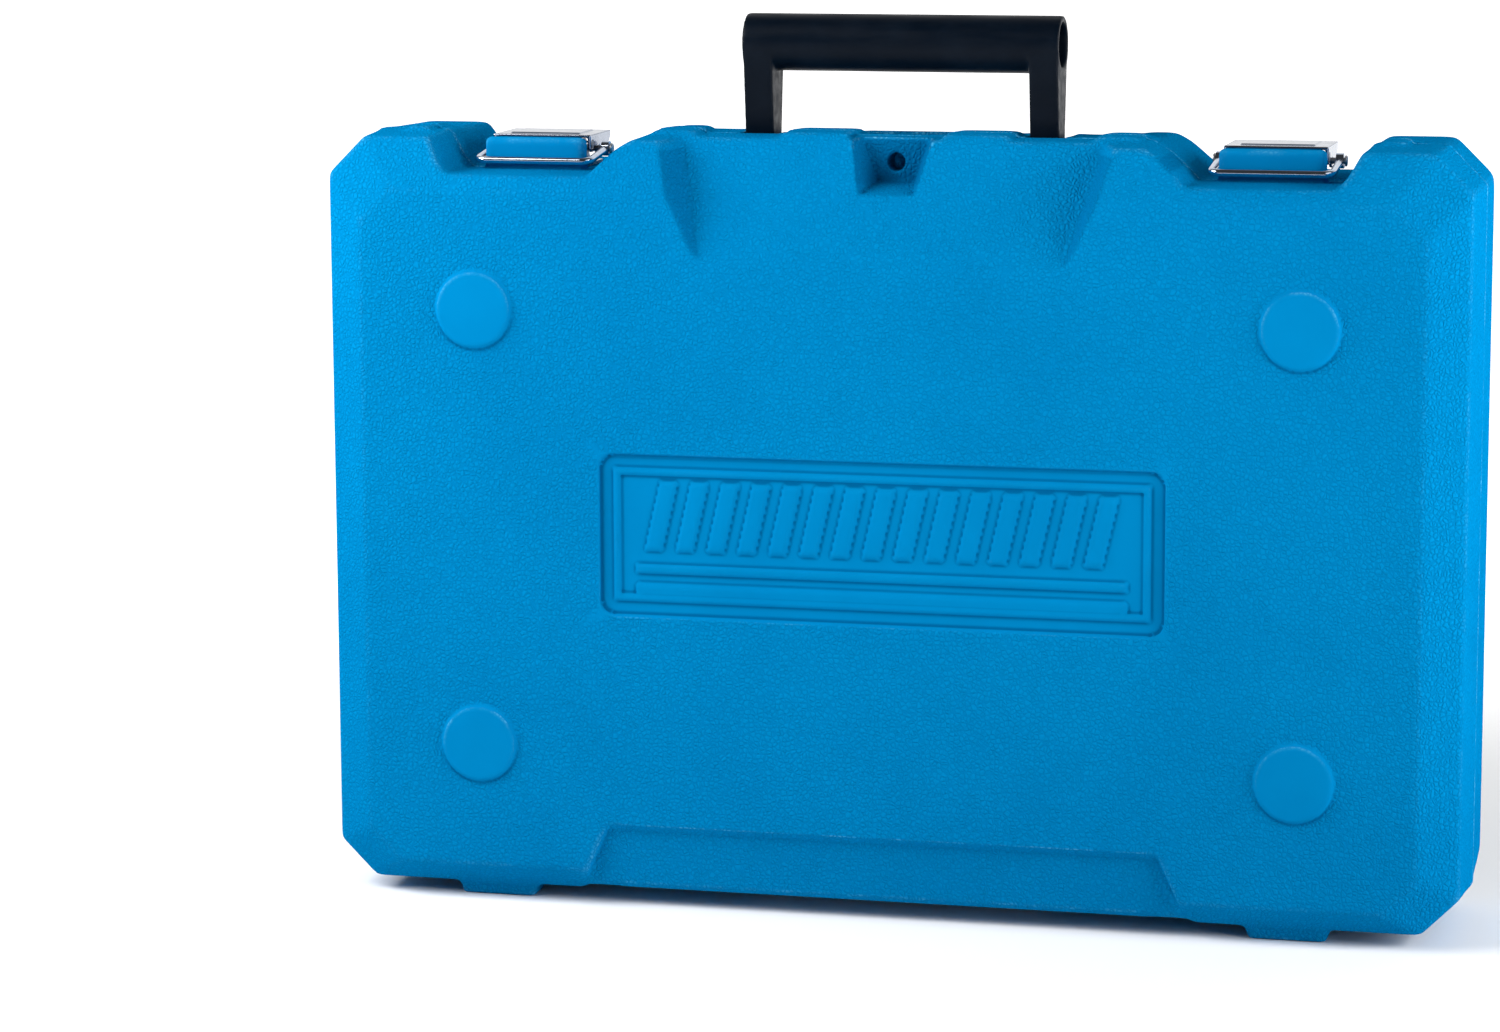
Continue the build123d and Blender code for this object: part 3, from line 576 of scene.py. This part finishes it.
def floor():
    """Plain white floor with a faint unevenness, which fades to pure white away from the case."""
    m = Material("floor_white")
    m.set("Base Color", m.mix(m.noise(FLOOR_CLOUDS, 3.0), FLOOR_DULL, FLOOR_BRIGHT))
    m.set("Roughness", 0.6)
    m.set("Specular IOR Level", 0.2)
    away = m.add("ShaderNodeVectorMath", operation="LENGTH")
    m.feed(away.inputs[0], m.place)
    m.set("Emission Color", WHITE)
    m.set("Emission Strength", m.span(away.outputs["Value"], SHADOW_R, WHITE_R))
    bm = bmesh.new()
    bmesh.ops.create_grid(bm, x_segments=FLOOR_CELLS, y_segments=FLOOR_CELLS, size=FLOOR_HALF)
    mesh = bpy.data.meshes.new("studio_floor")
    bm.to_mesh(mesh)
    bm.free()
    mesh.materials.append(m.data)
    obj = bpy.data.objects.new("studio_floor", mesh)
    bpy.context.scene.collection.objects.link(obj)


def room():
    """World that is nearly dark in front of the case and white behind it."""
    world = bpy.data.worlds.new("studio")
    world.use_nodes = True
    tree = world.node_tree
    direction = tree.nodes.new("ShaderNodeTexCoord")
    axes = tree.nodes.new("ShaderNodeSeparateXYZ")
    rise = tree.nodes.new("ShaderNodeMapRange")
    background = tree.nodes["Background"]
    tree.links.new(direction.outputs["Generated"], axes.inputs[0])
    tree.links.new(axes.outputs["Y"], rise.inputs["Value"])
    tree.links.new(rise.outputs["Result"], background.inputs["Strength"])
    rise.inputs["From Min"].default_value = SKY_FRONT_Y
    rise.inputs["From Max"].default_value = SKY_BACK_Y
    rise.inputs["To Min"].default_value = SKY_FRONT
    rise.inputs["To Max"].default_value = SKY_BACK
    background.inputs["Color"].default_value = (*WHITE, 1.0)
    bpy.context.scene.world = world


def camera():
    """Camera at the product-shot angle."""
    data = bpy.data.cameras.new("camera")
    data.lens = CAMERA_LENS
    data.sensor_width = SENSOR_WIDTH
    data.clip_start, data.clip_end = CLIP_NEAR, CLIP_FAR
    obj = bpy.data.objects.new("camera", data)
    bpy.context.scene.collection.objects.link(obj)
    yaw = Matrix.Rotation(-math.radians(CAMERA_YAW), 3, "Z")
    pitch = Matrix.Rotation(math.radians(CAMERA_PITCH), 3, "X")
    roll = Matrix.Rotation(math.radians(CAMERA_ROLL), 3, "Y")
    turn = (roll @ pitch @ yaw).transposed() @ Matrix.Rotation(math.radians(90), 3, "X")
    obj.matrix_world = Matrix.Translation(CAMERA_PLACE) @ turn.to_4x4()
    bpy.context.scene.camera = obj


# ---- scene -----------------------------------------------------------------------------------------
LOOKS = {name: plated_steel(name, *values) for name, values in STEELS.items()}
LOOKS["case_plastic"] = case_plastic()
LOOKS["handle_plastic"] = handle_plastic()

SIDE_LOOKS = {
    "latch_bail": "bail_wire",
    "latch_base": "base_steel",
    "latch_rivets": "rivet_steel",
    "latch_washers": "rivet_steel",
    "latch_hinge_pin": "pin_steel",
    "latch_bail_pin": "pin_steel",
    "handle_pin": "pin_steel",
    "hinge_pin": "pin_steel",
}

soft_shell("front_shell", "lid", FRONT_FACE, FRONT_VOXEL)
soft_shell("rear_shell", "base", REAR_FACE, REAR_VOXEL)
soft_piece("handle", "handle", "handle_plastic", HANDLE_VOXEL, HANDLE_ROUNDS, HANDLE_FACES)
for side in ("left", "right"):
    soft_piece(f"latch_lever_{side}", f"lever_{side}", "lever_plate", LEVER_VOXEL, LEVER_ROUNDS, LEVER_FACES)
    for piece, slot in SIDE_LOOKS.items():
        give_look(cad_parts[f"{piece}_{side}"], slot)

room()
light("key", KEY_PLACE, KEY_SIZE, KEY_POWER)
light("fill", FILL_PLACE, FILL_SIZE, FILL_POWER)
light("right", RIGHT_PLACE, RIGHT_SIZE, RIGHT_POWER)
floor()
camera()
bpy.context.scene.view_settings.view_transform = "Standard"
